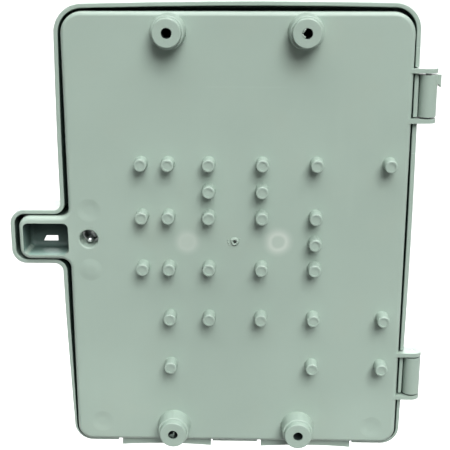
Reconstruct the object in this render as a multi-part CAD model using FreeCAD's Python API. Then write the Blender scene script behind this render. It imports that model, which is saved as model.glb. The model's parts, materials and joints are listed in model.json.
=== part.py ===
"""Fiber termination box: shallow wall base, deep hinged cover and inner splice hardware.

Millimetres.  X runs from the hinges (-X) to the latch ear (+X), +Z is up, and the wall is
the plane Y = 0.  The box stands off the wall towards -Y.  The origin is the centre of the
four wall standoffs, in the wall plane.
"""
import FreeCAD, Part
import math
import os

V = FreeCAD.Vector

# Driving dimensions
STANDOFF = 16.5                 # wall to the base's rear face
WALL = 3.0                      # moulded wall of base and cover
BASE_DEPTH = 27.0               # base's rear face to its front rim
BODY_DEPTH = 100.0              # base's rear face to the cover's front face
BASE_HALF_W = 119.7
BASE_TOP = 159.4
BASE_BOTTOM = -159.5
EAR_REACH = 155.9               # latch ear of the base, from the centre line
EAR_TOP = 16.0
EAR_BOTTOM = -15.6
STANDOFF_X = 46.3
STANDOFF_Z = 146.5
WALL_HOLE_R = 3.6

PEG_HEIGHT = 10.6
PEG_R = 4.8
PILOT_R = 1.6
PEG_COLUMNS = [66.6, 47.8, 19.4, -18.0, -55.7, -106.1]
PEG_ROWS = [56.2, 37.2, 18.2, -0.8, -19.8, -57.8, -95.6]
PEGS_BY_ROW = ["012345", "23", "01234", "4", "01234", "12345", "145"]
DISH_PLACES = [(104.8, 21.2), (100.8, -144.2), (-101.8, -146.6)]
PLATE_SCREWS = [(66.6, 56.2), (-55.7, 56.2), (47.8, -95.6), (-55.7, -95.6)]

HINGE_X = -130.6
HINGE_Y = -22.8
HINGE_CENTRES = [103.2, -104.9]
EAR_GAP = 31.3                  # between the two ears of one hinge
EAR_PLATE = 3.0
KNUCKLE_R = 6.3
KNUCKLE_LENGTH = 28.8
PIN_R = 2.0
PIN_CLEARANCE = 0.08

LATCH_X = 105.8
LATCH_Z = -0.1
LATCH_BORE_R = 6.5
LATCH_BUSH_END = -36.5          # Y of the bushing's front end
PORT_X = 53.0                   # the two cable ports lie at +X and -X of this
PORT_HALF_W = 33.9
CABLE_R = 5.0

# Levels along Y
BACK = -STANDOFF
FLOOR = BACK - WALL
RIM = BACK - BASE_DEPTH
FRONT = BACK - BODY_DEPTH
COVER_REAR = -20.5
SEAL = 2.4
STEP = RIM - 2.5                # the cover's step that presses the seal
BOSS_FACE = FLOOR - 10.0        # front of the spacers that carry the mounting plate
PLATE = 2.0
PLATE_FACE = BOSS_FACE - PLATE


def box(x0, x1, y0, y1, z0, z1):
    """Block between two opposite corners, given in any order."""
    low = V(min(x0, x1), min(y0, y1), min(z0, z1))
    return Part.makeBox(abs(x1 - x0), abs(y1 - y0), abs(z1 - z0), low)


def rod_y(x, z, y0, y1, r):
    return Part.makeCylinder(r, abs(y1 - y0), V(x, min(y0, y1), z), V(0, 1, 0))


def rod_z(x, y, z0, z1, r):
    return Part.makeCylinder(r, abs(z1 - z0), V(x, y, min(z0, z1)), V(0, 0, 1))


def cone_y(x, z, y0, y1, r0, r1):
    """Cone from radius r0 at y0 to r1 at y1, where y1 is nearer the wall."""
    return Part.makeCone(r0, r1, y1 - y0, V(x, y0, z), V(0, 1, 0))


def outline(corners, y):
    """Closed wire in the plane Y = y through (x, z, radius) corners, each rounded by an arc."""
    count = len(corners)
    turns = []
    for i, (x, z, radius) in enumerate(corners):
        point = V(x, y, z)
        before = corners[i - 1]
        after = corners[(i + 1) % count]
        to_before = (V(before[0], y, before[1]) - point).normalize()
        to_after = (V(after[0], y, after[1]) - point).normalize()
        half_turn = (math.pi - to_before.getAngle(to_after)) / 2
        reach = radius * math.tan(half_turn)
        inward = (to_before + to_after).normalize()
        middle = point + inward * (radius / math.cos(half_turn) - radius)
        turns.append((point + to_before * reach, middle, point + to_after * reach))
    edges = []
    for i, (start, middle, end) in enumerate(turns):
        edges.append(Part.Arc(start, middle, end).toShape())
        edges.append(Part.makeLine(end, turns[(i + 1) % count][0]))
    return Part.Wire(edges)


def prism(corners, y0, y1):
    return Part.Face(outline(corners, y0)).extrude(V(0, y1 - y0, 0))


def block(x0, x1, z0, z1, radius, y0, y1):
    """Rounded rectangle in X and Z, carried from y0 to y1."""
    return prism([(x0, z0, radius), (x1, z0, radius), (x1, z1, radius), (x0, z1, radius)], y0, y1)


def polygon_prism(x, z, radius, sides, y, depth):
    """Regular prism along Y with one corner straight up."""
    points = []
    for i in range(sides + 1):
        angle = math.radians(90 + 360 * i / sides)
        points.append(V(x + radius * math.cos(angle), y, z + radius * math.sin(angle)))
    return Part.Face(Part.makePolygon(points)).extrude(V(0, depth, 0))


def edges_at(shape, y):
    """Every edge that lies wholly in the plane Y = y."""
    found = []
    for edge in shape.Edges:
        span = edge.BoundBox
        if abs(span.YMin - y) < 1e-4 and abs(span.YMax - y) < 1e-4:
            found.append(edge)
    return found


def fuse(shapes):
    return shapes[0].fuse(shapes[1:]).removeSplitter()


def socket_screw(x, z, y_seat, length, r):
    """Pan-head screw along Y whose head sits in front of y_seat and whose shank runs to the wall."""
    head = cone_y(x, z, y_seat - 2.4, y_seat, r * 1.5, r * 1.9)
    shank = rod_y(x, z, y_seat, y_seat + length, r)
    slot_a = box(x - r * 0.9, x + r * 0.9, y_seat - 3, y_seat - 1.4, z - 0.45, z + 0.45)
    slot_b = box(x - 0.45, x + 0.45, y_seat - 3, y_seat - 1.4, z - r * 0.9, z + r * 0.9)
    return head.fuse(shank).cut(slot_a).cut(slot_b)


# ---------------------------------------------------------------- outlines
def base_corners(inset):
    """Base tub without its ear, moved inwards by inset."""
    w = BASE_HALF_W - inset
    top = BASE_TOP - inset
    low = BASE_BOTTOM + inset
    r_top = 15.0 - inset
    r_low = 11.0 - inset
    return [(-w, low, r_low), (w, low, r_low), (w, top, r_top), (-w, top, r_top)]


def base_corners_with_ear():
    plain = base_corners(0)
    ear = [(BASE_HALF_W, EAR_BOTTOM, 7.0), (EAR_REACH, EAR_BOTTOM, 8.0),
           (EAR_REACH, EAR_TOP, 8.0), (BASE_HALF_W, EAR_TOP, 6.0)]
    return plain[:2] + ear + plain[2:]


def skirt_corners(inset, low):
    """Rear skirt of the cover: bowed sides that thin towards the bottom, and an ear over the base's ear."""
    ear = 20.0 - inset
    reach = 162.6 - inset
    thin = inset / 2
    thick = inset * 1.12
    return [(-123.2 + inset * 0.77, low, 13.5 - inset), (122.4 - thin, low, 13.5 - inset),
            (125.7 - inset, -64.0, 2500.0), (126.1 - inset, -ear, 6.0 + inset),
            (reach, -ear, 10.5 - inset), (reach, ear, 10.5 - inset),
            (125.9 - inset, ear, 5.0 + inset), (125.9 - inset, 75.0, 2500.0),
            (124.6 - inset, 163.9 - inset, 20.0 - inset), (0, 167.1 - inset, 4200.0),
            (-123.4 + inset, 164.9 - inset, 18.0 - inset), (-124.9 + thick, 10.0, 5000.0)]


def body_corners(inset):
    """Front body of the cover, narrower than its skirt by the step."""
    w = 117.5 - inset
    return [(-w, -158.0 + inset, 9.0 - inset / 2), (w, -158.0 + inset, 9.0 - inset / 2),
            (w, 157.2 - inset, 13.0 - inset), (0, 158.4 - inset, 6000.0), (-w, 157.2 - inset, 13.0 - inset)]


# ---------------------------------------------------------------- base
def peg_places():
    return [(PEG_COLUMNS[int(c)], z) for z, row in zip(PEG_ROWS, PEGS_BY_ROW) for c in row]


def rear_peg(x, z):
    """Back of a blind screw boss, with a rounded rim and a shallow round sink mark."""
    end = BACK + PEG_HEIGHT
    peg = cone_y(x, z, BACK - 1, end, PEG_R, PEG_R - 0.3)
    peg = peg.makeFillet(0.9, edges_at(peg, end))
    return peg.cut(rod_y(x, z, end - 0.5, end + 1, 2.9))


def standoff(x, z):
    """Stepped wall standoff: a wide foot, a rounded shoulder and a tapered tip."""
    shoulder = BACK + 11.8
    foot = cone_y(x, z, BACK - 1, shoulder, 12.3, 11.3)
    foot = foot.makeFillet(1.0, edges_at(foot, shoulder))
    tip = cone_y(x, z, shoulder - 1, 0, 10.2, 9.8)
    tip = tip.makeFillet(0.9, edges_at(tip, 0))
    return foot.fuse(tip)


def dish_mark(x, z, r, depth):
    """Ball that leaves a shallow round dish in the rear face."""
    ball_r = (r * r + depth * depth) / (2 * depth)
    return Part.makeSphere(ball_r, V(x, BACK - depth + ball_r, z))


def raised_mark(x, z, r, height):
    """Faint round swelling on the rear face."""
    ball_r = (r * r + height * height) / (2 * height)
    ball = Part.makeSphere(ball_r, V(x, BACK + height - ball_r, z))
    return ball.common(rod_y(x, z, BACK - 0.5, BACK + height + 1, r))


def hinge_ear(z0):
    """Ear plate of one hinge, rounded around the pin."""
    root = box(-BASE_HALF_W + 2.5, HINGE_X, HINGE_Y - KNUCKLE_R, BACK, z0, z0 + EAR_PLATE)
    return root.fuse(rod_z(HINGE_X, HINGE_Y, z0, z0 + EAR_PLATE, KNUCKLE_R))


def base_shell():
    ear_floor = -42.5
    shell = fuse([prism(base_corners(0), BACK, RIM), prism(base_corners_with_ear(), BACK, ear_floor)])
    shell = shell.makeFillet(3.0, edges_at(shell, BACK))
    shell = shell.cut(prism(base_corners(WALL), FLOOR, RIM - 1))
    pocket_floor = -40.5
    pocket = block(120.4, 152.9, -12.4, 11.3, 3.8, BACK + 1, pocket_floor)
    shell = shell.cut(pocket.makeFillet(3.4, edges_at(pocket, pocket_floor)))
    slot = Part.makePolygon([V(132.6, -38, -9.0), V(143.6, -38, -9.0), V(141.3, -38, -4.7),
                             V(132.6, -38, -4.7), V(132.6, -38, -9.0)])
    shell = shell.cut(Part.Face(slot).extrude(V(0, -8, 0)))
    added = [standoff(sx * STANDOFF_X, sz * STANDOFF_Z) for sx in (-1, 1) for sz in (-1, 1)]
    added += [rear_peg(x, z) for x, z in peg_places()]
    added.append(raised_mark(105.2, -23.2, 8.5, 0.25))
    for centre in HINGE_CENTRES:
        added.append(hinge_ear(centre + EAR_GAP / 2))
        added.append(hinge_ear(centre - EAR_GAP / 2 - EAR_PLATE))
    shell = shell.cut([dish_mark(x, z, 8.5, 0.25) for x, z in DISH_PLACES])
    shell = shell.fuse(added)
    holes = [rod_y(sx * STANDOFF_X, sz * STANDOFF_Z, 1, FLOOR - 1, WALL_HOLE_R)
             for sx in (-1, 1) for sz in (-1, 1)]
    holes += [rod_y(x, z, BACK + PEG_HEIGHT - 2.3, FLOOR - 1, PILOT_R) for x, z in peg_places()]
    holes += [rod_y(x, PANEL_FOOT_Z, BACK - 0.6, FLOOR - 1, PILOT_R) for x in PANEL_SCREW_X]
    holes += [rod_y(x, z, BACK - 0.6, FLOOR - 1, PILOT_R) for x, z in CLAMP_PLACES]
    holes.append(rod_y(LATCH_X, LATCH_Z, BACK + 1, FLOOR - 1, LATCH_BORE_R))
    for centre in HINGE_CENTRES:
        pin_low = centre - EAR_GAP / 2 - 2.0
        pin_high = centre + EAR_GAP / 2 + EAR_PLATE + 1
        holes.append(rod_z(HINGE_X, HINGE_Y, pin_low, pin_high, PIN_R + 0.02))
    for side in (-1, 1):
        x = side * PORT_X
        holes.append(box(x - 29, x + 29, -24.6, -39.4, BASE_BOTTOM - 1, BASE_BOTTOM + WALL + 1))
        holes += [rod_z(screw_x, GROMMET_Y, BASE_BOTTOM - 1, BASE_BOTTOM + WALL + 1, COLLAR_SCREW_R + 0.1)
                  for screw_x in (x - COLLAR_SCREW_X, x + COLLAR_SCREW_X)]
    shell = shell.cut(holes).removeSplitter()
    mouth = [e for e in edges_at(shell, BACK)
             if e.BoundBox.Center.distanceToPoint(V(LATCH_X, BACK, LATCH_Z)) < 1 and e.BoundBox.XLength < 14]
    return shell.makeFillet(1.2, mouth)


def cover_seal():
    """Square-section seal on the base's front rim."""
    ring = prism(base_corners(0.3), RIM, RIM - SEAL)
    return ring.cut(prism(base_corners(WALL), RIM + 1, RIM - SEAL - 1))


def latch_bushing():
    """Plastic bushing that carries the latch hole on through the base."""
    bushing = rod_y(LATCH_X, LATCH_Z, FLOOR, LATCH_BUSH_END, 10.5)
    return bushing.cut(rod_y(LATCH_X, LATCH_Z, FLOOR + 1, LATCH_BUSH_END - 1, LATCH_BORE_R))


def latch_sleeve():
    """Metal sleeve pressed into the front of the bushing, with a detent ball."""
    rear = -31.5
    sleeve = rod_y(LATCH_X, LATCH_Z, rear, LATCH_BUSH_END, LATCH_BORE_R - 0.05)
    bore = rod_y(LATCH_X, LATCH_Z, rear + 1, LATCH_BUSH_END - 1, 5.6)
    detent = Part.makeSphere(1.5, V(LATCH_X, rear, LATCH_Z - 4.9))
    return sleeve.cut(bore).fuse(detent).removeSplitter()


def latch_keeper():
    """Striker: two blocks on the bushing's end and, on them, two jaws with a slot between."""
    blocks = [box(LATCH_X + x0, LATCH_X + x0 + 4.0, LATCH_BUSH_END, RIM, LATCH_Z - 7.0, LATCH_Z + 7.0)
              for x0 in (-10.2, 6.2)]
    jaws = [box(LATCH_X + x0, LATCH_X + x1, RIM, RIM - 2.2, LATCH_Z - 8.5, LATCH_Z + 8.5)
            for x0, x1 in ((-10.2, -3.2), (2.6, 8.0))]
    return blocks + jaws


def hinge_pin(centre):
    low = centre - EAR_GAP / 2 - 1.9
    high = centre + EAR_GAP / 2 + EAR_PLATE - 0.1
    pin = rod_z(HINGE_X, HINGE_Y, low, high, PIN_R)
    return pin.makeChamfer(0.4, [e for e in pin.Edges if e.BoundBox.ZLength < 1e-4])


# ---------------------------------------------------------------- cable ports
PORT_REAR = -22.5
PORT_FRONT = -41.5
PORT_LOW = -166.8
GROMMET_Y = -32.0
FEEDER_X = [PORT_X - 13.5, PORT_X + 13.5]
COLLAR_SCREW_X = 31.2
COLLAR_SCREW_R = 1.2


def port_collar(side):
    """Hooded collar under the base's bottom wall, with a bowed lower edge and a sleeve through the wall."""
    x = side * PORT_X
    flange = box(x - PORT_HALF_W, x + PORT_HALF_W, PORT_REAR, PORT_FRONT, PORT_LOW, BASE_BOTTOM)
    bow_r = 460.0
    flange = flange.cut(rod_y(x, PORT_LOW + 1.2 - bow_r, PORT_REAR + 1, PORT_FRONT - 1, bow_r))
    sleeve = box(x - 28.9, x + 28.9, -24.7, -39.3, BASE_BOTTOM - 1, BASE_BOTTOM + WALL + 2)
    passage = box(x - 26.5, x + 26.5, -26.2, -37.8, PORT_LOW - 1, BASE_BOTTOM + 6)
    pilots = [rod_z(screw_x, GROMMET_Y, BASE_BOTTOM - 5.2, BASE_BOTTOM + 1, COLLAR_SCREW_R + 0.02)
              for screw_x in (x - COLLAR_SCREW_X, x + COLLAR_SCREW_X)]
    return flange.fuse(sleeve).cut([passage] + pilots).removeSplitter()


def grommet_block(side):
    """Rubber block that fills a collar, with a lip above the sleeve."""
    x = side * PORT_X
    body = box(x - 26.5, x + 26.5, -26.2, -37.8, PORT_LOW + 2.0, BASE_BOTTOM + 5)
    lip = box(x - 28.5, x + 28.5, -24.9, -39.1, BASE_BOTTOM + 5, BASE_BOTTOM + 7)
    return body.fuse(lip)


def feeder_grommet():
    """Two round cable passages."""
    grommet = grommet_block(1)
    for x in FEEDER_X:
        grommet = grommet.cut(rod_z(x, GROMMET_Y, PORT_LOW - 1, BASE_BOTTOM + 9, CABLE_R))
        lead_in = Part.makeCone(CABLE_R + 0.6, CABLE_R, 0.6, V(x, GROMMET_Y, PORT_LOW + 2), V(0, 0, 1))
        grommet = grommet.cut(lead_in)
    return grommet


def drop_grommet():
    """Eight thin membranes, closed until a drop cable pierces one."""
    grommet = grommet_block(-1)
    for i in range(8):
        x = -PORT_X - 21.7 + i * 6.2
        grommet = grommet.cut(rod_z(x, GROMMET_Y, PORT_LOW, BASE_BOTTOM + 2, 2.2))
    return grommet


def collar_screws():
    """Screws that clamp each collar up against the bottom wall, driven from inside."""
    screws = []
    for side in (-1, 1):
        for end in (-1, 1):
            x = side * PORT_X + end * COLLAR_SCREW_X
            shank = rod_z(x, GROMMET_Y, BASE_BOTTOM - 5, BASE_BOTTOM + WALL, COLLAR_SCREW_R)
            head = rod_z(x, GROMMET_Y, BASE_BOTTOM + WALL, BASE_BOTTOM + WALL + 1.8, 2.3)
            slot = box(x - 1.8, x + 1.8, GROMMET_Y - 0.35, GROMMET_Y + 0.35,
                       BASE_BOTTOM + WALL + 1.0, BASE_BOTTOM + WALL + 3)
            screws.append(shank.fuse(head).cut(slot))
    return screws


# ---------------------------------------------------------------- inner hardware
PANEL_FOOT_Z = -118.0
PANEL_SCREW_X = [-94.0, 15.0]
CLAMP_Z = -128.0
CLAMP_SCREW_OFFSET = 9.3        # each side of a feeder cable
CLAMP_PLACES = [(x + way * CLAMP_SCREW_OFFSET, CLAMP_Z) for x in FEEDER_X for way in (-1, 1)]
TRAY = (-48.0, 58.0, -40.0, 62.0)
TRAY_DEPTH = 11.0


def plate_spacers():
    """Sleeves between the base's floor and the sheet parts, one round each screw."""
    places = PLATE_SCREWS + [(x, PANEL_FOOT_Z) for x in PANEL_SCREW_X]
    return [rod_y(x, z, FLOOR, BOSS_FACE, 5.0).cut(rod_y(x, z, FLOOR + 1, BOSS_FACE - 1, 1.75))
            for x, z in places]


def mounting_plate():
    plate = block(-68, 78, -105, 67, 6.0, BOSS_FACE, PLATE_FACE)
    holes = [rod_y(x, z, BOSS_FACE + 1, PLATE_FACE - 1, 1.9) for x, z in PLATE_SCREWS]
    holes += [block(x - 3, x + 3, z - 8, z + 8, 2.9, BOSS_FACE + 1, PLATE_FACE - 1)
              for x in (-61, 71) for z in (-60, -10, 30)]
    return plate.cut(holes)


def splice_tray():
    x0, x1, z0, z1 = TRAY
    front = PLATE_FACE - TRAY_DEPTH
    tray = block(x0, x1, z0, z1, 12.0, PLATE_FACE, front)
    tray = tray.cut(block(x0 + 1.6, x1 - 1.6, z0 + 1.6, z1 - 1.6, 10.4, PLATE_FACE - 1.6, front - 1))
    for x in (-20, 30):
        tray = tray.fuse(rod_y(x, 32, PLATE_FACE - 1, front + 1.5, 17.0))
        tray = tray.cut(rod_y(x, 32, PLATE_FACE - 1.6, front - 1, 15.4))
    entries = [box(x - 5, x + 5, PLATE_FACE - 4, front - 1, z0 - 1, z0 + 3) for x in (-34, 44)]
    return tray.cut(entries).removeSplitter()


def splice_holder():
    """Comb block for twelve splice sleeves."""
    holder = box(-23, 33, PLATE_FACE - 1.6, PLATE_FACE - 8.6, -28, 4)
    for i in range(12):
        z = -26.2 + i * 2.6
        holder = holder.cut(box(-24, 34, PLATE_FACE - 5.4, PLATE_FACE - 9, z - 0.75, z + 0.75))
    return holder


def splice_cover():
    """Clear snap-on cover of the splice tray."""
    x0, x1, z0, z1 = TRAY
    face = PLATE_FACE - TRAY_DEPTH
    cover = block(x0, x1, z0, z1, 12.0, face, face - 1.2)
    thumb = block(-4, 14, z1 - 0.5, z1 + 5, 2.0, face, face - 1.2)
    return cover.fuse(thumb).removeSplitter()


def splitter_cassette():
    body = block(-48, 40, -97, -48, 3.0, PLATE_FACE, PLATE_FACE - 10)
    front = PLATE_FACE - 10
    body = body.makeFillet(1.0, edges_at(body, front))
    body = body.cut(block(-42, 34, -91, -54, 2.0, front + 0.6, front - 1))
    ports = [rod_z(x, PLATE_FACE - 5, -98, -92, 1.6) for x in range(-40, 33, 8)]
    return body.cut(ports)


ADAPTER_PITCH = 15.0
ADAPTER_X = [-92.0 + ADAPTER_PITCH * i for i in range(8)]
ADAPTER_Y = [-46.0, -64.0]
PANEL_Z = -111.0


def adapter_panel():
    """Bent sheet: two feet on the base's bosses and an upright with sixteen windows."""
    upright = box(-101, 22, BOSS_FACE, -74, PANEL_Z, PANEL_Z + 2)
    foot = box(-101, 22, BOSS_FACE, PLATE_FACE, PANEL_Z, PANEL_FOOT_Z - 6)
    panel = upright.fuse(foot)
    windows = [box(x - 6.55, x + 6.55, y - 4.75, y + 4.75, PANEL_Z - 1, PANEL_Z + 3)
               for x in ADAPTER_X for y in ADAPTER_Y]
    holes = [rod_y(x, PANEL_FOOT_Z, BOSS_FACE + 1, PLATE_FACE - 1, 1.9) for x in PANEL_SCREW_X]
    return panel.cut(windows + holes).removeSplitter()


def adapter(x, y):
    """Square-bodied simplex adapter with a flange and a stepped opening at each end."""
    body = box(x - 6.45, x + 6.45, y - 4.65, y + 4.65, PANEL_Z - 12.5, PANEL_Z + 14.5)
    flange = box(x - 7.3, x + 7.3, y - 5.6, y + 5.6, PANEL_Z + 2, PANEL_Z + 4)
    solid = body.fuse(flange)
    for z0, z1 in ((PANEL_Z - 13, PANEL_Z - 1), (PANEL_Z + 3, PANEL_Z + 15)):
        solid = solid.cut(box(x - 4.6, x + 4.6, y - 3.6, y + 3.6, z0, z1))
    return solid


def sc_adapters():
    return [adapter(x, y) for x in ADAPTER_X for y in ADAPTER_Y]


def dust_caps():
    """One cap in the upper and one in the lower end of each adapter."""
    caps = []
    for x in ADAPTER_X:
        for y in ADAPTER_Y:
            for end, way in ((PANEL_Z + 14.5, 1), (PANEL_Z - 12.5, -1)):
                plug = box(x - 4.5, x + 4.5, y - 3.5, y + 3.5, end - way * 6, end)
                grip = box(x - 5.6, x + 5.6, y - 4.3, y + 4.3, end, end + way * 3.5)
                caps.append(plug.fuse(grip))
    return caps


def adapter_springs():
    """Spring clips that hold each adapter behind its window."""
    clips = []
    for x in ADAPTER_X:
        for y in ADAPTER_Y:
            plate = box(x - 7.0, x + 7.0, y - 5.2, y + 5.2, PANEL_Z, PANEL_Z - 0.8)
            clips.append(plate.cut(box(x - 6.5, x + 6.5, y - 4.7, y + 4.7, PANEL_Z + 1, PANEL_Z - 2)))
    return clips


def cable_clamps():
    """Saddles that bridge each feeder cable and hold it down on the base's floor."""
    saddles = []
    face = FLOOR - 3
    for x in FEEDER_X:
        saddle = box(x - 12.8, x + 12.8, face, face - 5, CLAMP_Z - 5, CLAMP_Z + 5)
        hump = box(x - 6.2, x + 6.2, face - 5, face - 9, CLAMP_Z - 5, CLAMP_Z + 5)
        screw_x = [x + way * CLAMP_SCREW_OFFSET for way in (-1, 1)]
        feet = [rod_y(foot_x, CLAMP_Z, FLOOR, face - 1, 3.5) for foot_x in screw_x]
        saddle = saddle.fuse([hump] + feet)
        saddle = saddle.cut(rod_z(x, FLOOR - 5.0, CLAMP_Z - 6, CLAMP_Z + 6, CABLE_R - 0.1))
        shanks = [rod_y(foot_x, CLAMP_Z, FLOOR + 1, face - 6, 1.7) for foot_x in screw_x]
        saddles.append(saddle.cut(shanks).removeSplitter())
    return saddles


def drop_comb():
    """Comb that parts the drop cables above their port."""
    comb = box(-85, -21, FLOOR, FLOOR - 14, -139, -133)
    for i in range(8):
        x = -PORT_X - 21.7 + i * 6.2
        comb = comb.cut(box(x - 1.6, x + 1.6, FLOOR - 5, FLOOR - 15, -140, -132))
    return comb


GUIDE_PLACES = [(-92.0, 88.0), (-92.0, 16.0), (-92.0, -68.0), (92.0, 88.0), (92.0, -68.0)]


def fibre_guides():
    """Open rings that lead the fibres round the base."""
    rings = []
    for x, z in GUIDE_PLACES:
        centre = FLOOR - 10.5
        ring = rod_z(x, centre, z - 3, z + 3, 8.5).cut(rod_z(x, centre, z - 4, z + 4, 6.7))
        ring = ring.cut(box(x - 1.6, x + 1.6, centre - 3, centre - 10, z - 4, z + 4))
        foot = box(x - 5, x + 5, FLOOR, FLOOR - 3.2, z - 5, z + 5)
        foot = foot.cut(rod_z(x, centre, z - 6, z + 6, 6.7))
        rings.append(ring.fuse(foot).removeSplitter())
    return rings


GROUND_X = 92.0
GROUND_Z = -118.0


def ground_stud():
    foot = rod_y(GROUND_X, GROUND_Z, FLOOR, FLOOR - 3, 7.0)
    return foot.fuse(rod_y(GROUND_X, GROUND_Z, FLOOR - 3, FLOOR - 17, 3.0))


def ground_washer():
    seat = FLOOR - 3
    disc = rod_y(GROUND_X, GROUND_Z, seat, seat - 1.6, 6.2)
    return disc.cut(rod_y(GROUND_X, GROUND_Z, seat + 1, seat - 3, 3.05))


def ground_nut():
    seat = FLOOR - 4.6
    nut = polygon_prism(GROUND_X, GROUND_Z, 5.8, 6, seat, -5)
    return nut.cut(rod_y(GROUND_X, GROUND_Z, seat + 1, seat - 6, 3.05))


# ---------------------------------------------------------------- cover
RECESS = (92.0, -18.0, 16.0)    # left side, low and high edge of the latch recess
RECESS_FLOOR = -62.0
LATCH_BAR_Y = (-38.4, -42.6)    # rear and front face of the latch's crossbar


def knuckle(centre):
    """Hinge barrel of the cover and the web that carries it."""
    low = centre - KNUCKLE_LENGTH / 2
    high = centre + KNUCKLE_LENGTH / 2
    barrel = rod_z(HINGE_X, HINGE_Y, low, high, KNUCKLE_R)
    web_points = [V(HINGE_X - KNUCKLE_R, HINGE_Y, low), V(-123.0, HINGE_Y, low), V(-123.0, -44.0, low),
                  V(HINGE_X - KNUCKLE_R, -31.0, low), V(HINGE_X - KNUCKLE_R, HINGE_Y, low)]
    web = Part.Face(Part.makePolygon(web_points)).extrude(V(0, 0, high - low))
    return barrel.fuse(web)


def pin_tab(centre):
    """Small fin on the outside of the upper barrel's top, with a tooth at its lower end."""
    high = centre + KNUCKLE_LENGTH / 2
    x = HINGE_X - KNUCKLE_R
    y = HINGE_Y - 3
    corners = [V(x + 1, y, high), V(x - 1.9, y, high), V(x - 1.9, y, high - 8.4), V(x - 1.2, y, high - 8.4),
               V(x - 0.5, y, high - 6.6), V(x + 1, y, high - 6.0), V(x + 1, y, high)]
    return Part.Face(Part.makePolygon(corners)).extrude(V(0, 6, 0))


def cover_shell():
    skirt = prism(skirt_corners(0, -162.2), COVER_REAR, STEP - WALL)
    body = prism(body_corners(0), STEP, FRONT)
    body = body.makeFillet(6.0, edges_at(body, FRONT))
    shell = fuse([skirt, body])
    shell = shell.cut(prism(skirt_corners(WALL, -160.0), COVER_REAR + 1, STEP))
    shell = shell.makeFillet(0.7, edges_at(shell, COVER_REAR))
    shell = shell.cut(prism(body_corners(WALL), STEP + 1, FRONT + WALL))
    left, low, high = RECESS
    housing = box(left - WALL, 117.0, RECESS_FLOOR + WALL, FRONT + 1.5, low - WALL, high + WALL)
    shell = shell.fuse(housing.common(prism(body_corners(0.5), STEP, FRONT + 0.5)))
    shell = shell.cut(block(left, 135, low, high, 4.0, RECESS_FLOOR, FRONT - 1))
    shell = shell.cut(block(-96, 78, -134, 134, 8.0, FRONT + 1.2, FRONT - 1))
    notches = []
    for centre in HINGE_CENTRES:
        for z0 in (centre + EAR_GAP / 2, centre - EAR_GAP / 2 - EAR_PLATE):
            notches.append(box(-119, -128, COVER_REAR + 1, -31.5, z0 - 0.9, z0 + EAR_PLATE + 0.9))
    notches.append(box(-88.3, -16.3, COVER_REAR + 1, -44.5, -158, -164))
    notches.append(box(17.7, 89.7, COVER_REAR + 1, -44.5, -158, -164))
    shell = shell.cut(notches)
    shell = shell.fuse([knuckle(centre) for centre in HINGE_CENTRES] + [pin_tab(HINGE_CENTRES[0])])
    holes = [rod_z(HINGE_X, HINGE_Y, c - 16, c + 16, PIN_R + PIN_CLEARANCE) for c in HINGE_CENTRES]
    holes.append(rod_y(LATCH_X, LATCH_Z, RECESS_FLOOR + WALL + 1, RECESS_FLOOR - 1, 4.58))
    holes.append(block(131, 148, -15, -4, 2.5, STEP + 1, STEP - WALL - 1))
    return shell.cut(holes).removeSplitter()


def latch_shaft():
    """Quarter-turn shaft: keyed head in the recess, journal in the recess floor and a slim neck."""
    head = cone_y(LATCH_X, LATCH_Z, RECESS_FLOOR - 8, RECESS_FLOOR - 1.1, 8.0, 8.8)
    key = polygon_prism(LATCH_X, LATCH_Z, 4.4, 3, RECESS_FLOOR - 9, 5)
    journal = rod_y(LATCH_X, LATCH_Z, -56.0, RECESS_FLOOR - 2, 4.5)
    neck = rod_y(LATCH_X, LATCH_Z, LATCH_BAR_Y[1], -57.0, 2.0)
    return head.cut(key).fuse([journal, neck]).removeSplitter()


def latch_bar():
    """Crossbar on the neck's end, which turns behind the keeper's jaws."""
    rear, front = LATCH_BAR_Y
    bar = box(LATCH_X - 1.7, LATCH_X + 1.7, rear, front, LATCH_Z - 4.9, LATCH_Z + 4.9)
    return bar.common(rod_y(LATCH_X, LATCH_Z, rear + 1, front - 1, 5.1))


def latch_washer():
    ring = rod_y(LATCH_X, LATCH_Z, RECESS_FLOOR, RECESS_FLOOR - 1.0, 8.4)
    return ring.cut(rod_y(LATCH_X, LATCH_Z, RECESS_FLOOR + 1, RECESS_FLOOR - 2, 4.6))


def latch_clip():
    """Retaining ring behind the recess floor."""
    ring = rod_y(LATCH_X, LATCH_Z, -57.2, -58.7, 7.0)
    return ring.cut(rod_y(LATCH_X, LATCH_Z, -56, -60, 4.5))


def label_plate():
    return block(-45, 27, 60, 100, 3.0, FRONT + 1.2, FRONT + 0.2)


def export(name, shape):
    """Write one node; a list of solids becomes one compound."""
    if isinstance(shape, list):
        shape = Part.makeCompound(shape)
    solids = shape.Solids
    assert shape.isValid() and solids, name
    if len(solids) == 1:
        shape = solids[0]
    shape.exportStep("parts/" + name + ".step")
    span = shape.BoundBox
    print("%-20s solids %2d  volume %9.0f  box %.1f %.1f %.1f" % (
        name, len(solids), shape.Volume, span.XLength, span.YLength, span.ZLength))


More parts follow.
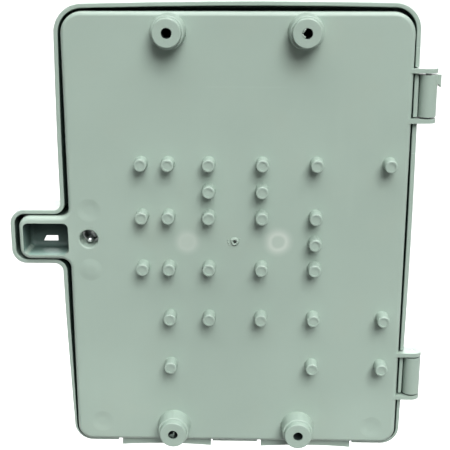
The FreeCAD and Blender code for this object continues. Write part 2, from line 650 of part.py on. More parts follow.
os.makedirs("parts", exist_ok=True)
export("base_shell", base_shell())
export("cover_seal", cover_seal())
export("latch_bushing", latch_bushing())
export("latch_sleeve", latch_sleeve())
export("latch_keeper", latch_keeper())
export("upper_hinge_pin", hinge_pin(HINGE_CENTRES[0]))
export("lower_hinge_pin", hinge_pin(HINGE_CENTRES[1]))
export("feeder_port_collar", port_collar(1))
export("drop_port_collar", port_collar(-1))
export("feeder_grommet", feeder_grommet())
export("drop_grommet", drop_grommet())
export("collar_screws", collar_screws())
export("plate_spacers", plate_spacers())
export("mounting_plate", mounting_plate())
export("plate_screws", [socket_screw(x, z, PLATE_FACE, 21, 1.5) for x, z in PLATE_SCREWS])
export("splice_tray", splice_tray())
export("splice_holder", splice_holder())
export("splice_cover", splice_cover())
export("splitter_cassette", splitter_cassette())
export("adapter_panel", adapter_panel())
export("panel_screws", [socket_screw(x, PANEL_FOOT_Z, PLATE_FACE, 14.2, 1.5) for x in PANEL_SCREW_X])
export("sc_adapters", sc_adapters())
export("adapter_springs", adapter_springs())
export("dust_caps", dust_caps())
export("cable_clamps", cable_clamps())
export("clamp_screws", [socket_screw(x, z, FLOOR - 8, 10.2, 1.5) for x, z in CLAMP_PLACES])
export("drop_comb", drop_comb())
export("fibre_guides", fibre_guides())
export("ground_stud", ground_stud())
export("ground_washer", ground_washer())
export("ground_nut", ground_nut())
export("cover_shell", cover_shell())
export("latch_shaft", latch_shaft())
export("latch_bar", latch_bar())
export("latch_washer", latch_washer())
export("latch_clip", latch_clip())
export("label_plate", label_plate())
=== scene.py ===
import json
import math
import random

import bmesh
import bpy
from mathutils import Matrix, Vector


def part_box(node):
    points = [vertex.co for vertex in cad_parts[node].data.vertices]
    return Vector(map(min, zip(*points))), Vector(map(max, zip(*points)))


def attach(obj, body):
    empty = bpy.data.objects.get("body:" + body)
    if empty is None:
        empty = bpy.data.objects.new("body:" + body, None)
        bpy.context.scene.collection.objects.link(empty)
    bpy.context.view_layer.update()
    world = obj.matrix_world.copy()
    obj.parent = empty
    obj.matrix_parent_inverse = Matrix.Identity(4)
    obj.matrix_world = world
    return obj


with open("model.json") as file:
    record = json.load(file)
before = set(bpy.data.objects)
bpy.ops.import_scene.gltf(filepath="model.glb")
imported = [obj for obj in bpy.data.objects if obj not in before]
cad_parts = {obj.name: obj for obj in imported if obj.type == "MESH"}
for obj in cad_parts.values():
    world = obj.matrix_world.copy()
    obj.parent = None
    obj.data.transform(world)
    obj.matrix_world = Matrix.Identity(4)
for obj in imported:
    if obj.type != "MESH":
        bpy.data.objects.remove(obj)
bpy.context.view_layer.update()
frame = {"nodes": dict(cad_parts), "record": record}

MM = 0.001
NODES = frame["nodes"]

# Places that the rest is measured from: the wall plane, the base's rear face and the standoffs.
WALL_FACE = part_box("base_shell")[1].y
STANDOFF = 16.5 * MM
REAR_FACE = WALL_FACE - STANDOFF
PATTERN = next(m for m in frame["record"]["mounts"] if m["name"] == "wall_pattern")
STANDOFF_X = PATTERN["dims"]["spacing_x_mm"] * MM / 2
STANDOFF_Z = PATTERN["dims"]["spacing_y_mm"] * MM / 2
WALL_HOLE_R = PATTERN["dims"]["hole_r_mm"] * MM

# Colours, what becomes of the moulding's colour where it is marked, and the painted shade in its gaps,
# corners, pocket and bores.
GREY_GREEN = (0.323, 0.411, 0.353)
BLUSH_FACTORS = (1.48, 1.33, 1.38)
# Painted shade: what is left of the colour in narrow gaps and deep corners.
CREVICE_SHADE_FACTORS = (0.05, 0.10, 0.09)
# Painted shade in the ear's pocket and the standoffs' bores: its tint, its colour, its roughness and its
# share in the bores.
POCKET_SHADE_TINT = (0.80, 0.95, 0.97)
HOLLOW_SHADE = (0.006, 0.015, 0.015)
HOLLOW_SHADE_ROUGHNESS = 0.95
BORE_SHADE_SHARE = 0.97

# How softly marks end, and the form of the pocket in the base's ear, where shade is painted.
EDGE_FADE = 0.2 * MM
LINE_FADE = 4 * MM
BLUSH_WOBBLE = 0.6 * MM
POCKET_CORNER = 5.5 * MM
POCKET_MARGIN = Vector((1.9 * MM, 2.2 * MM, 1.4 * MM))
POCKET_LIP = 0.4 * MM

# Where the gates left pale rings on the rear face: X, Z, ring radius, outer radius (mm), share of
# the ring's paleness in its middle, strength.
BLUSHES = [
    (35.2, -1.6, 5.4, 11.6, 0.85, 0.62),
    (-29.7, -1.1, 5.8, 12.5, 0.42, 1.0),
]
# Broad lighter and darker areas of the rear face: X, Z, radius (mm), factor.
DRIFTS = [
    (5, -38, 75, 0.93),
    (-104, -142, 48, 1.11),
    (95, -135, 60, 1.07),
    (142, 0, 38, 1.13),
]
# Round marks whose middle lies below the rear face: X, Z, radius, depth (mm). One stands proud.
DISHES = [
    (104.8, 21.2, 8.8, 0.36),
    (105.2, -23.2, 8.8, -0.36),
    (100.8, -144.2, 8.8, 0.3),
    (-101.8, -146.6, 8.8, 0.3),
]
# Thin pale witness lines: low X, high X, Z, width (mm), strength.
BACK_LINES = [(-37, 22, 109.2, 0.5, 0.16)]
RIM_LINES = [(-132, -115, z, 0.4, 0.7) for z in (135.6, 63.0, -84.0, -133.0)]

# The torn gate in the middle of the rear face, in millimetres. Rows are (radius, height above the
# rear face, unevenness), crumbs are (X and Z from the gate, radius).
GATE_CENTRE = Vector((1.2 * MM, REAR_FACE, -1.0 * MM))
GATE_LIP = [(3.2, -0.3, 0.0), (3.1, 0.05, 0.06), (2.7, 0.9, 0.16), (2.0, 1.3, 0.22), (1.4, 1.0, 0.2),
            (1.3, 0.1, 0.1)]
GATE_PIT_OFFSET = Vector((-0.3 * MM, 0.0, -0.2 * MM))
GATE_PIT = [(1.1, -0.2, 0.0), (1.1, 0.35, 0.15), (0.7, 0.5, 0.2)]
GATE_CRUMBS = [(4.6, -0.6, 0.7), (5.0, 1.3, 0.5), (3.9, -2.6, 0.6), (-3.6, 1.9, 0.5)]
UNEVEN_HEIGHT = 0.6 * MM

# The latch's detent plunger: rows are (radius, height from its tip, unevenness) in millimetres.
PLUNGER_TIP = REAR_FACE - 6.6 * MM
PLUNGER_FOOT = 3.5 * MM
PLUNGER_OFF_AXIS = (0.4 * MM, -2.8 * MM)
PLUNGER_ROWS = [(1.3, -4.6, 0.0), (2.1, -4.3, 0.0), (2.1, -1.9, 0.0), (1.85, -1.0, 0.0), (1.3, -0.35, 0.0),
                (0.6, -0.06, 0.0), (0.1, 0.0, 0.0)]

# Outlines of the moulding flash in two of the standoffs' holes, in millimetres from the hole's axis.
UPPER_FLASH = [(0.6, 3.7), (1.9, 1.1), (2.9, 0.1), (3.7, 0.2), (3.2, 1.9), (2.0, 3.1)]
LOWER_FLASH = [(2.9, -0.1), (2.3, -1.2), (1.0, -2.1), (1.3, -3.5), (2.4, -2.8), (3.3, -1.6), (3.7, -0.1)]
WEB_FLASH = [(2.7, -0.8), (1.2, -0.3), (0.5, -0.6), (-0.4, 1.7), (-1.1, 1.5), (-0.9, -0.6), (-0.7, -2.4),
             (0.0, -3.7), (1.8, -3.2), (3.2, -1.9)]
FLASH_DEPTH = 0.15 * MM
FLASH_THICKNESS = 0.8 * MM
WEB_DEPTH = 1.6 * MM
WEB_THICKNESS = 0.6 * MM
FLASH_UNEVEN = 0.25 * MM

# Stage, in metres, and light. Suns are (name, direction to it, strength, spread in degrees), and
# panels are (name, watts, seen in reflections only).
FLOOR_HALF = 60.0
FLOOR_LEVEL = -0.6
DOME_RADIUS = 18.0
SUNS = [("key", (-0.24, 0.735, 0.635), 3.05, 34), ("overhead", (-0.12, 0.15, 1.0), 3.5, 66)]
PANELS = [("backdrop", 34.0, False), ("backdrop_gloss", 60.0, True)]
PANEL_SIZE = (2.4, 1.0)
PANEL_PLACE = (0.0, -1.6, 0.5)
FILL_STRENGTH = 0.10

CAMERA_LENS = 76.53
CAMERA_SENSOR = 36.0
CAMERA_PLACE = (-0.0099, 0.6353, 0.2018)
CAMERA_AIM = (0.0265, -0.9595, -0.2805)

# Sockets of Blender's Mix node when it mixes colours.
MIX_A = 6
MIX_B = 7
MIX_RESULT = 2


# ---------------------------------------------------------------- shader helpers
class Shader:
    """A principled material whose texture coordinates are the object's own metres."""

    def __init__(self, name):
        self.material = bpy.data.materials.new(name)
        self.material.use_nodes = True
        self.tree = self.material.node_tree
        self.tree.nodes.clear()
        self.bsdf = self.tree.nodes.new("ShaderNodeBsdfPrincipled")
        output = self.tree.nodes.new("ShaderNodeOutputMaterial")
        self.link(self.bsdf.outputs["BSDF"], output.inputs["Surface"])
        self.place = self.tree.nodes.new("ShaderNodeTexCoord").outputs["Object"]
        self.height = None

    def link(self, source, target):
        self.tree.links.new(source, target)

    def set(self, **values):
        """Constants on the shader's own sockets: set(roughness=.4, coat_weight=.1)."""
        for key, value in values.items():
            socket = self.bsdf.inputs[key.replace("_", " ").title().replace("Ior", "IOR")]
            socket.default_value = value

    def stretched(self, factors):
        """Coordinates scaled by a factor along each axis, for grain that runs one way."""
        node = self.tree.nodes.new("ShaderNodeMapping")
        node.inputs["Scale"].default_value = factors
        self.link(self.place, node.inputs["Vector"])
        return node.outputs["Vector"]

    def noise(self, scale, detail=3.0, roughness=0.5, along=None):
        """Noise with features about 1/scale metres across."""
        node = self.tree.nodes.new("ShaderNodeTexNoise")
        node.inputs["Scale"].default_value = scale
        node.inputs["Detail"].default_value = detail
        node.inputs["Roughness"].default_value = roughness
        self.link(along or self.place, node.inputs["Vector"])
        return node.outputs["Fac"]

    def cells(self, scale):
        """Closed cells about 1/scale metres across, as in a foamed seal."""
        node = self.tree.nodes.new("ShaderNodeTexVoronoi")
        node.inputs["Scale"].default_value = scale
        self.link(self.place, node.inputs["Vector"])
        return node.outputs["Distance"]

    def ranged(self, source, low, high, out_low=0.0, out_high=1.0, smooth=True):
        """The source's low and high become out_low and out_high, and it stays between them."""
        node = self.tree.nodes.new("ShaderNodeMapRange")
        node.interpolation_type = "SMOOTHSTEP" if smooth else "LINEAR"
        node.inputs["From Min"].default_value = low
        node.inputs["From Max"].default_value = high
        node.inputs["To Min"].default_value = out_low
        node.inputs["To Max"].default_value = out_high
        self.link(source, node.inputs["Value"])
        return node.outputs["Result"]

    def math(self, operation, a, b=None):
        """A Math node, whose inputs may be numbers or sockets."""
        node = self.tree.nodes.new("ShaderNodeMath")
        node.operation = operation
        for socket, value in zip(node.inputs, (a, b)):
            if isinstance(value, (int, float)):
                socket.default_value = value
            elif value is not None:
                self.link(value, socket)
        return node.outputs["Value"]

    def product(self, value, *factors):
        for factor in factors:
            value = self.math("MULTIPLY", value, factor)
        return value

    def rest_of(self, share):
        return self.math("SUBTRACT", 1.0, share)

    def off(self, axis, centre):
        """Distance along one axis from a plane."""
        return self.math("ABSOLUTE", self.math("SUBTRACT", self.along(axis), centre))

    def hypotenuse(self, a, b):
        squares = self.math("ADD", self.product(a, a), self.product(b, b))
        return self.math("SQRT", squares)

    def mix(self, factor, a, b, blend="MIX"):
        """A colour between a and b, each of which may be a colour or a socket."""
        node = self.tree.nodes.new("ShaderNodeMix")
        node.data_type = "RGBA"
        node.blend_type = blend
        sockets = (node.inputs["Factor"], node.inputs[MIX_A], node.inputs[MIX_B])
        for socket, value in zip(sockets, (factor, a, b)):
            if isinstance(value, float):
                socket.default_value = value
            elif isinstance(value, tuple):
                socket.default_value = (*value, 1.0)
            else:
                self.link(value, socket)
        return node.outputs[MIX_RESULT]

    def multiplied(self, tone, factors):
        return self.mix(1.0, tone, factors, "MULTIPLY")

    def colour(self, source):
        self.link(source, self.bsdf.inputs["Base Color"])

    def rough(self, source):
        self.link(source, self.bsdf.inputs["Roughness"])

    def bump(self, height, strength, depth):
        """One layer of relief, depth metres from low to high, laid over the layers before it."""
        node = self.tree.nodes.new("ShaderNodeBump")
        node.inputs["Strength"].default_value = strength
        node.inputs["Distance"].default_value = depth
        self.link(height, node.inputs["Height"])
        if self.height is not None:
            self.link(self.height, node.inputs["Normal"])
        self.height = node.outputs["Normal"]
        self.link(self.height, self.bsdf.inputs["Normal"])

    def crevice(self, reach):
        """1 on open faces, falling to 0 in gaps and corners narrower than reach, where the moulding's
        painted shade goes.
        """
        node = self.tree.nodes.new("ShaderNodeAmbientOcclusion")
        node.samples = 8
        node.inputs["Distance"].default_value = reach
        return node.outputs["AO"]

    def along(self, axis):
        """One coordinate of the place that is shaded."""
        node = self.tree.nodes.new("ShaderNodeSeparateXYZ")
        self.link(self.place, node.inputs["Vector"])
        return node.outputs[axis]

    def distance_to(self, point):
        node = self.tree.nodes.new("ShaderNodeVectorMath")
        node.operation = "DISTANCE"
        self.link(self.place, node.inputs[0])
        node.inputs[1].default_value = point
        return node.outputs["Value"]

    def within(self, axis, low, high):
        """1 between two coordinates, 0 outside them."""
        above = self.ranged(self.along(axis), low - EDGE_FADE, low, 0.0, 1.0, False)
        below = self.ranged(self.along(axis), high, high + EDGE_FADE, 1.0, 0.0, False)
        return self.product(above, below)

    def within_rounded(self, low, high, corner):
        """1 inside a rectangle in X and Z whose corners are rounded, 0 outside it."""
        middle = (low + high) / 2
        half = (high - low) / 2
        past_x = self.math("MAXIMUM", self.math("SUBTRACT", self.off("X", middle.x), half.x - corner), 0.0)
        past_z = self.math("MAXIMUM", self.math("SUBTRACT", self.off("Z", middle.z), half.z - corner), 0.0)
        return self.ranged(self.hypotenuse(past_x, past_z), corner, corner + EDGE_FADE, 1.0, 0.0, False)

    def wall_bores(self):
        """1 on the walls of the four standoffs' holes, from a little below their mouths."""
        off_x = self.math("SUBTRACT", self.math("ABSOLUTE", self.along("X")), STANDOFF_X)
        off_z = self.math("SUBTRACT", self.math("ABSOLUTE", self.along("Z")), STANDOFF_Z)
        away = self.hypotenuse(off_x, off_z)
        near = self.ranged(away, WALL_HOLE_R + 0.1 * MM, WALL_HOLE_R + 0.3 * MM, 1.0, 0.0)
        deep = self.ranged(self.along("Y"), WALL_FACE - 2.5 * MM, WALL_FACE - 0.3 * MM, 1.0, 0.0)
        return self.product(near, deep)


def tint(colour, factor):
    return tuple(min(1.0, c * factor) for c in colour)


def scaled(colour, factors):
    """The colour with each channel multiplied by its own factor."""
    return tuple(c * factor for c, factor in zip(colour, factors))


def on_rear_face(x, z):
    """The point of the rear face at X and Z in millimetres."""
    return Vector((x * MM, REAR_FACE, z * MM))


# ---------------------------------------------------------------- the moulding
def cloudy_tone(s, colour):
    """Clouds, warmer patches, flow streaks that run up the part and a fine dark speckle."""
    clouds = s.ranged(s.noise(9, 3, 0.55), 0.3, 0.7)
    tone = s.mix(clouds, tint(colour, 0.965), tint(colour, 1.03))
    patches = s.ranged(s.noise(23, 4, 0.6), 0.5, 0.75, 0.0, 0.55)
    tone = s.mix(patches, tone, scaled(colour, (1.035, 1.0, 0.985)))
    streaks = s.noise(60, 2, 0.5, along=s.stretched((1.0, 1.0, 0.12)))
    tone = s.mix(s.ranged(streaks, 0.55, 0.8, 0.0, 0.35), tone, tint(colour, 1.06))
    speckle = s.ranged(s.noise(1400, 2, 0.6), 0.62, 0.74, 0.0, 0.5)
    return s.mix(speckle, tone, tint(colour, 0.9))


def with_drifts(s, tone, drifts):
    for x, z, radius, factor in drifts:
        away = s.distance_to(on_rear_face(x, z))
        near = s.ranged(away, radius * MM * 0.2, radius * MM, 1.0, 0.0)
        tone = s.mix(near, tone, s.multiplied(tone, (factor, factor, factor)))
    return tone


def with_blushes(s, tone, colour, blushes):
    for x, z, peak, outer, middle, strength in blushes:
        wobble = s.ranged(s.noise(140, 2), 0, 1, -BLUSH_WOBBLE, BLUSH_WOBBLE, False)
        away = s.math("ADD", s.distance_to(on_rear_face(x, z)), wobble)
        ring = s.ranged(away, peak * MM * 0.6, peak * MM, middle, 1.0)
        halo = s.math("POWER", s.ranged(away, peak * MM * 1.05, outer * MM, 1.0, 0.0, False), 1.7)
        tone = s.mix(s.product(ring, halo, strength), tone, scaled(colour, BLUSH_FACTORS))
    return tone


def with_lines(s, tone, colour, lines):
    for low_x, high_x, z, width, strength in lines:
        across = s.ranged(s.off("Z", z * MM), 0.0, width * MM, 1.0, 0.0)
        start = s.ranged(s.along("X"), low_x * MM, low_x * MM + LINE_FADE)
        end = s.ranged(s.along("X"), high_x * MM - LINE_FADE, high_x * MM, 1.0, 0.0)
        tone = s.mix(s.product(across, start, end, strength), tone, tint(colour, 1.35))
    return tone


def with_painted_crevice_shade(s, tone, colour):
    """Painted shade: narrow gaps go almost black, and deep corners a little less."""
    gaps = s.ranged(s.crevice(12 * MM), 0.02, 0.36, 0.0, 1.0, False)
    hollows = s.ranged(s.crevice(35 * MM), 0.08, 0.36, 0.25, 1.0, False)
    return s.mix(s.product(gaps, hollows), scaled(colour, CREVICE_SHADE_FACTORS), tone)


def pocket_and_bore_shade(s, tone, pocket):
    """Tone and share of the painted shade in the pocket, thicker towards its floor and top, and in the
    standoffs' bores.
    """
    low, high = pocket
    inside = s.product(s.within_rounded(low, high, POCKET_CORNER), s.within("Y", low.y, high.y))
    tone = s.mix(inside, tone, s.multiplied(tone, POCKET_SHADE_TINT))
    depth = s.ranged(s.along("Y"), low.y, high.y - 2 * MM, 0.6, 0.0, False)
    height = s.ranged(s.along("Z"), low.z, high.z, 0.0, 0.9, False)
    unshaded = s.product(s.rest_of(depth), s.rest_of(height))
    in_pocket = s.product(inside, s.rest_of(unshaded))
    shade_share = s.math("MAXIMUM", in_pocket, s.product(s.wall_bores(), BORE_SHADE_SHARE))
    return s.mix(shade_share, tone, HOLLOW_SHADE), shade_share


def moulded_plastic(name, colour, blushes=(), lines=(), drifts=(), dishes=(), pocket=None, crevice_shaded=True):
    """Weatherproof moulding: cloudy tone, flow streaks, a fine eroded texture and soft satin gloss.

    The marks are rows like those of BLUSHES, BACK_LINES, DRIFTS and DISHES. Unless turned off, shade is
    painted into gaps and corners. pocket is the two corners of the ear's hollow, given for the base alone;
    with it, shade is also painted into that pocket and the standoffs' bores."""
    s = Shader(name)
    gloss = s.ranged(s.noise(320, 3), 0.3, 0.7, 0.40, 0.52)
    tone = with_drifts(s, cloudy_tone(s, colour), drifts)
    tone = with_blushes(s, tone, colour, blushes)
    tone = with_lines(s, tone, colour, lines)
    # Painted shade in gaps and corners.
    if crevice_shaded:
        tone = with_painted_crevice_shade(s, tone, colour)
    # Painted shade in the ear's pocket and the standoffs' bores, made matt where it lies.
    if pocket:
        tone, shade_share = pocket_and_bore_shade(s, tone, pocket)
        gloss = s.math("MAXIMUM", gloss, s.product(shade_share, HOLLOW_SHADE_ROUGHNESS))
    s.colour(tone)
    s.rough(gloss)
    for x, z, radius, depth in dishes:
        away = s.distance_to(on_rear_face(x, z))
        s.bump(s.ranged(away, radius * MM * 0.3, radius * MM, -1.0, 0.0), 1.0, depth * MM)
    s.bump(s.noise(14, 2), 0.25, 0.6 * MM)
    s.bump(s.noise(2600, 2, 0.6), 0.22, 0.06 * MM)
    s.set(specular_ior_level=0.5)
    return s.material


def ear_pocket():
    """Two corners of the hollow in the base's ear, out to its walls and short of its mouth."""
    stated = next(o for o in frame["record"]["physics"]["openings"] if o["name"] == "ear_pocket")
    low, high = (Vector(corner) for corner in stated["box_m"])
    high.y = REAR_FACE - POCKET_MARGIN.y - POCKET_LIP
    return low - POCKET_MARGIN, high + POCKET_MARGIN


# ---------------------------------------------------------------- other materials
def rubber(name, colour, cell_scale=0):
    """Seal or grommet: dusty, matt and fine-grained, with closed cells where it is foamed."""
    s = Shader(name)
    tone = s.mix(s.ranged(s.noise(45, 4), 0.35, 0.7), tint(colour, 0.8), tint(colour, 1.6))
    dust = s.ranged(s.noise(380, 3, 0.6), 0.6, 0.8, 0.0, 0.25)
    s.colour(s.mix(dust, tone, (0.16, 0.16, 0.15)))
    s.rough(s.ranged(s.noise(240, 3), 0.3, 0.7, 0.62, 0.85))
    if cell_scale:
        s.bump(s.cells(cell_scale), 0.5, 0.25 * MM)
    s.bump(s.noise(1500, 3, 0.6), 0.3, 0.1 * MM)
    return s.material


def plated(name, colour, brushed, shine):
    """Zinc or brass: metal with a drifting tint, brushed or turned grain and fine scratches."""
    s = Shader(name)
    tone = s.mix(s.ranged(s.noise(120, 3), 0.35, 0.7), tint(colour, 0.82), colour)
    stain = s.ranged(s.noise(420, 4, 0.65), 0.6, 0.8, 0.0, 0.5)
    s.colour(s.mix(stain, tone, tint(colour, 0.6)))
    grain = s.noise(900, 3, 0.6, along=s.stretched(brushed))
    s.rough(s.ranged(grain, 0.3, 0.7, shine, shine + 0.2))
    s.bump(grain, 0.25, 0.05 * MM)
    s.set(metallic=1.0)
    return s.material


def powder_coat(name, colour):
    """Painted sheet: a slightly cloudy coat with the pebbled skin of baked powder."""
    s = Shader(name)
    tone = s.mix(s.ranged(s.noise(30, 3), 0.35, 0.7), tint(colour, 0.94), tint(colour, 1.03))
    s.colour(s.mix(s.ranged(s.noise(900, 2), 0.6, 0.75, 0.0, 0.4), tone, tint(colour, 0.85)))
    s.rough(s.ranged(s.noise(500, 2), 0.3, 0.7, 0.34, 0.5))
    s.bump(s.noise(700, 2, 0.55), 0.35, 0.12 * MM)
    s.set(coat_weight=0.15)
    return s.material


def small_moulding(name, colour, gloss):
    """Small injection-moulded part: faint flow marks, finger-worn gloss and a fine skin."""
    s = Shader(name)
    tone = s.mix(s.ranged(s.noise(80, 3), 0.3, 0.7), tint(colour, 0.9), tint(colour, 1.08))
    flow = s.noise(260, 3, 0.5, along=s.stretched((0.3, 1.0, 1.0)))
    s.colour(s.mix(s.ranged(flow, 0.58, 0.78, 0.0, 0.35), tone, tint(colour, 1.25)))
    s.rough(s.ranged(s.noise(420, 3), 0.3, 0.7, gloss, gloss + 0.16))
    s.bump(s.noise(1800, 2, 0.6), 0.25, 0.05 * MM)
    return s.material


def clear_moulding(name):
    """Clear lid: faintly blue, with fine scratches that run across it."""
    s = Shader(name)
    s.colour(s.mix(s.ranged(s.noise(30, 2), 0.3, 0.7), (0.86, 0.91, 0.92), (0.93, 0.96, 0.97)))
    scratches = s.noise(500, 4, 0.7, along=s.stretched((0.06, 1.0, 1.0)))
    s.rough(s.ranged(scratches, 0.55, 0.8, 0.06, 0.3))
    s.bump(s.noise(60, 2), 0.15, 0.3 * MM)
    s.set(ior=1.585, transmission_weight=0.92)
    return s.material


def slot_materials():
    """One material for each of the record's finishes."""
    return {
        "base_plastic": moulded_plastic("base_plastic_look", GREY_GREEN, BLUSHES, BACK_LINES, DRIFTS, DISHES,
                                         ear_pocket()),
        "cover_plastic": moulded_plastic("cover_plastic_look", tint(GREY_GREEN, 0.995), (), RIM_LINES),
        # The collars' moulding is made a little lighter than the base's to lift their shaded faces: painted
        # light.
        "collar_plastic": moulded_plastic("collar_plastic_look", tint(GREY_GREEN, 1.03)),
        "seal_rubber": rubber("seal_rubber_look", (0.012, 0.014, 0.013), 900),
        "grommet_rubber": rubber("grommet_rubber_look", (0.02, 0.021, 0.021)),
        "plated_metal": plated("plated_metal_look", (0.92, 0.93, 0.94), (1, 0.3, 1), 0.34),
        "steel": plated("steel_look", (0.62, 0.63, 0.64), (1, 1, 0.1), 0.28),
        "sheet_metal": powder_coat("sheet_metal_look", (0.52, 0.54, 0.54)),
        "tray_plastic": small_moulding("tray_plastic_look", (0.66, 0.67, 0.64), 0.25),
        "holder_foam": rubber("holder_foam_look", (0.045, 0.048, 0.05)),
        "clear_plastic": clear_moulding("clear_plastic_look"),
        "cassette_plastic": small_moulding("cassette_plastic_look", (0.025, 0.027, 0.03), 0.42),
        "adapter_plastic": small_moulding("adapter_plastic_look", (0.02, 0.16, 0.06), 0.22),
        "cap_plastic": small_moulding("cap_plastic_look", (0.55, 0.035, 0.02), 0.35),
        "clamp_plastic": small_moulding("clamp_plastic_look", (0.012, 0.012, 0.013), 0.38),
        "guide_plastic": small_moulding("guide_plastic_look", (0.62, 0.63, 0.6), 0.32),
        "brass": plated("brass_look", (0.78, 0.56, 0.22), (0.1, 1, 1), 0.2),
        "label_plastic": small_moulding("label_plastic_look", (0.5, 0.51, 0.49), 0.34),
    }


# ---------------------------------------------------------------- pieces that the CAD leaves out
def new_piece(name, mesh_code, body, look):
    """Makes a mesh piece with mesh_code(bmesh), rides it on a body and gives it its finish."""
    mesh = bpy.data.meshes.new(name)
    work = bmesh.new()
    mesh_code(work)
    bmesh.ops.recalc_face_normals(work, faces=work.faces)
    for face in work.faces:
        face.smooth = True
    work.to_mesh(mesh)
    work.free()
    piece = bpy.data.objects.new(name, mesh)
    bpy.context.scene.collection.objects.link(piece)
    piece.data.materials.append(look)
    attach(piece, body)


def rings_from(level, rows):
    """Rings for ring_stack, from rows of (radius, height above the level, unevenness) in millimetres."""
    return [(radius * MM, level + height * MM, uneven) for radius, height, uneven in rows]


def ring_stack(work, centre, rings, sides):
    """Closed surface of revolution about Y, through rings of (radius, Y, unevenness)."""
    chance = random.Random(7)
    loops = []
    for radius, y, uneven in rings:
        loop = []
        for i in range(sides):
            angle = 2 * math.pi * i / sides
            r = radius * (1 + uneven * chance.uniform(-1, 1))
            lift = uneven * UNEVEN_HEIGHT * chance.uniform(-1, 1)
            place = (centre.x + r * math.cos(angle), y + lift, centre.z + r * math.sin(angle))
            loop.append(work.verts.new(place))
        loops.append(loop)
    for low, high in zip(loops, loops[1:]):
        for i in range(sides):
            j = (i + 1) % sides
            work.faces.new((low[i], low[j], high[j], high[i]))
    work.faces.new(loops[0])
    work.faces.new(loops[-1])


def torn_gate(look, pit_shade_look):
    """What is left of the moulding's gate: an uneven lip round a pit, whose shade is painted as a near-black
    cap, and crumbs beside it.
    """
    def lip(work):
        ring_stack(work, GATE_CENTRE, rings_from(REAR_FACE, GATE_LIP), sides=28)

    def pit(work):
        ring_stack(work, GATE_CENTRE + GATE_PIT_OFFSET, rings_from(REAR_FACE, GATE_PIT), sides=20)

    def crumbs(work):
        for dx, dz, r in GATE_CRUMBS:
            rows = [(r, -0.1, 0.0), (r, 0.15, 0.1), (r * 0.5, 0.45, 0.2)]
            place = GATE_CENTRE + Vector((dx * MM, 0.0, dz * MM))
            ring_stack(work, place, rings_from(REAR_FACE, rows), sides=12)

    new_piece("gate_nub", lip, "base", look)
    new_piece("gate_pit", pit, "base", pit_shade_look)
    new_piece("gate_crumbs", crumbs, "base", look)


def detent_plunger(look):
    """Domed spring plunger of the latch's detent, which shows through the latch hole."""
    low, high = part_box("latch_sleeve")
    off_x, off_z = PLUNGER_OFF_AXIS
    centre = Vector(((low.x + high.x) / 2 + off_x, 0.0, (low.z + high.z) / 2 + off_z))
    foot = [(PLUNGER_ROWS[0][0] * MM, low.y + PLUNGER_FOOT, 0.0)]
    rings = foot + rings_from(PLUNGER_TIP, PLUNGER_ROWS)

    def plunger(work):
        ring_stack(work, centre, rings, sides=32)

    new_piece("detent_plunger", plunger, "base", look)


def flake(work, x, z, outline, face, thickness):
    """Thin irregular flake, outline in millimetres about (x, z), its rear side at Y = face."""
    chance = random.Random(11)
    rear = []
    front = []
    for dx, dz in outline:
        place = (x + dx * MM, face - FLASH_UNEVEN * chance.random(), z + dz * MM)
        rear.append(work.verts.new(place))
        front.append(work.verts.new((place[0], face - thickness, place[2])))
    work.faces.new(rear)
    work.faces.new(list(reversed(front)))
    for i in range(len(rear)):
        j = (i + 1) % len(rear)
        work.faces.new((rear[i], front[i], front[j], rear[j]))


def hole_flash(look):
    """Moulding flash left in the mouths of two of the standoffs' holes."""
    def upper_hole(work):
        flake(work, -STANDOFF_X, STANDOFF_Z, UPPER_FLASH, WALL_FACE - FLASH_DEPTH, FLASH_THICKNESS)
        flake(work, -STANDOFF_X, STANDOFF_Z, LOWER_FLASH, WALL_FACE - FLASH_DEPTH, FLASH_THICKNESS)

    def lower_hole(work):
        flake(work, STANDOFF_X, -STANDOFF_Z, WEB_FLASH, WALL_FACE - WEB_DEPTH, WEB_THICKNESS)

    new_piece("flash_upper_hole", upper_hole, "base", look)
    new_piece("flash_lower_hole", lower_hole, "base", look)


# ---------------------------------------------------------------- stage, light and camera
def shown(name, data):
    """A new object in the scene."""
    obj = bpy.data.objects.new(name, data)
    bpy.context.scene.collection.objects.link(obj)
    return obj


def stage_floor():
    """Pale floor well below the box, which hangs as it does on its wall."""
    mesh = bpy.data.meshes.new("floor")
    sides = ((-1, -1), (1, -1), (1, 1), (-1, 1))
    corners = [(x * FLOOR_HALF, y * FLOOR_HALF, FLOOR_LEVEL) for x, y in sides]
    mesh.from_pydata(corners, [], [(0, 1, 2, 3)])
    floor = shown("floor", mesh)
    s = Shader("floor_look")
    s.colour(s.mix(s.noise(3, 2), (0.74, 0.74, 0.74), (0.77, 0.77, 0.77)))
    s.set(roughness=0.9)
    floor.data.materials.append(s.material)
    floor.visible_diffuse = False


def stage_backdrop():
    """White dome far behind everything, which only the camera sees, so no horizon shows."""
    mesh = bpy.data.meshes.new("backdrop_dome")
    work = bmesh.new()
    bmesh.ops.create_icosphere(work, subdivisions=4, radius=DOME_RADIUS)
    bmesh.ops.reverse_faces(work, faces=work.faces)
    work.to_mesh(mesh)
    work.free()
    dome = shown("backdrop_dome", mesh)
    s = Shader("backdrop_look")
    s.set(base_color=(0.0, 0.0, 0.0, 1.0), emission_color=(1.0, 1.0, 1.0, 1.0), emission_strength=1.0)
    dome.data.materials.append(s.material)
    dome.visible_diffuse = False
    dome.visible_glossy = False
    dome.visible_transmission = False
    dome.visible_shadow = False


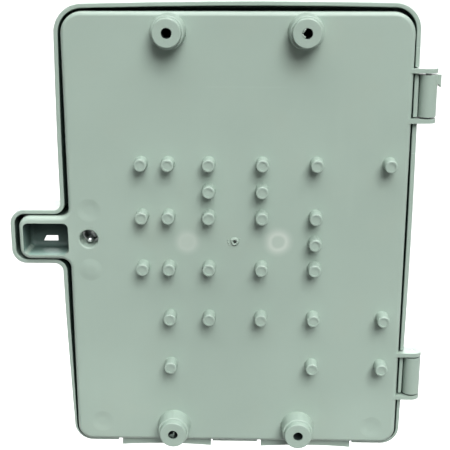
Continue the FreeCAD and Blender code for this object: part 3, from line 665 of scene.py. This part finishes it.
def sun(name, towards, strength, spread):
    """Distant soft light that comes from the direction towards, spread degrees wide."""
    data = bpy.data.lights.new(name, "SUN")
    data.energy = strength
    data.angle = math.radians(spread)
    lamp = shown(name, data)
    lamp.rotation_mode = "QUATERNION"
    lamp.rotation_quaternion = Vector(towards).to_track_quat("Z", "Y")


def panel_light(name, watts, mirrored_only):
    """Broad white panel in front of the cover, which the upward faces mirror at a grazing view."""
    data = bpy.data.lights.new(name, "AREA")
    data.shape = "RECTANGLE"
    data.size, data.size_y = PANEL_SIZE
    data.energy = watts
    lamp = shown(name, data)
    lamp.location = PANEL_PLACE
    lamp.rotation_euler = (math.radians(90), 0.0, 0.0)
    lamp.visible_camera = False
    lamp.visible_diffuse = not mirrored_only


def studio():
    """Soft key from behind and above, soft overhead light, the panels and a faint even fill."""
    for row in SUNS:
        sun(*row)
    for row in PANELS:
        panel_light(*row)
    world = bpy.data.worlds.new("studio")
    world.use_nodes = True
    background = world.node_tree.nodes["Background"]
    background.inputs["Color"].default_value = (1.0, 1.0, 1.0, 1.0)
    background.inputs["Strength"].default_value = FILL_STRENGTH
    bpy.context.scene.world = world
    bpy.context.scene.view_settings.view_transform = "Standard"


def camera():
    """Looks at the rear face from a little above."""
    data = bpy.data.cameras.new("camera")
    data.lens = CAMERA_LENS
    data.sensor_width = CAMERA_SENSOR
    cam = shown("camera", data)
    cam.location = CAMERA_PLACE
    cam.rotation_mode = "QUATERNION"
    cam.rotation_quaternion = Vector(CAMERA_AIM).to_track_quat("-Z", "Y")
    bpy.context.scene.camera = cam


# ---------------------------------------------------------------- making
looks = slot_materials()
for part in frame["record"]["subparts"]:
    obj = NODES[part["node"]]
    obj.data.materials.clear()
    obj.data.materials.append(looks[part["material_slot"]])

# The bushing's bore is deep enough for the moulding's painted crevice shade to blacken all of it, so it has
# none.
NODES["latch_bushing"].data.materials[0] = moulded_plastic("latch_bushing_look", GREY_GREEN, crevice_shaded=False)

# The gate's pit is a near-black cap: painted shade standing for the pit's depth.
torn_gate(looks["base_plastic"], moulded_plastic("gate_pit_shade_look", tint(GREY_GREEN, 0.06)))
detent_plunger(looks["plated_metal"])
hole_flash(looks["base_plastic"])
stage_floor()
stage_backdrop()
studio()
camera()
